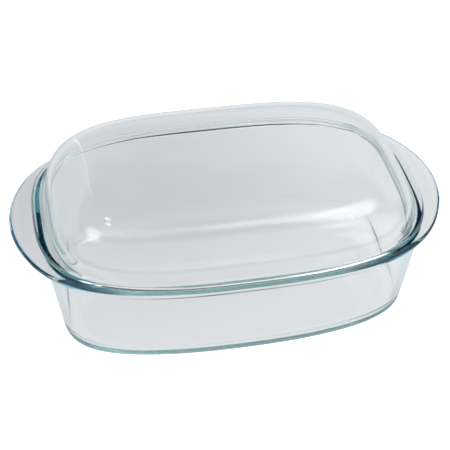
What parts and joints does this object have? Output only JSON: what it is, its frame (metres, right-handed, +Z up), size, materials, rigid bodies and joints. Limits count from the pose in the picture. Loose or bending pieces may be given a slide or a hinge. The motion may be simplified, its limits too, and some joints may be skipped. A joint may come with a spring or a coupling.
{
  "type": "covered casserole dish",
  "caption": "Deep rectangular clear-glass oven dish with wing handles at both ends, and a domed glass lid whose flange rests on its rim.",
  "frame": {"origin": "centre of the footprint, on the flat underside of the dish", "axes": "+Z up, the way the lid lifts; +X towards a wing handle, along the long side; +Y across the dish"},
  "size_m": [0.38, 0.2246, 0.139],
  "materials": {
    "dish_glass": "clear pressed glass, smooth, faint blue-green edge colour",
    "lid_glass": "clear pressed glass, smooth, faint blue-green edge colour"
  },
  "bodies": {
    "dish": {"dish": "dish_glass"},
    "lid": {"lid": "lid_glass"}
  },
  "joints": [
    {"name": "lid_lift", "type": "slide", "parent": "dish", "child": "lid", "axis": [0, 0, 1], "range_m": [0, 0.12]}
  ]
}
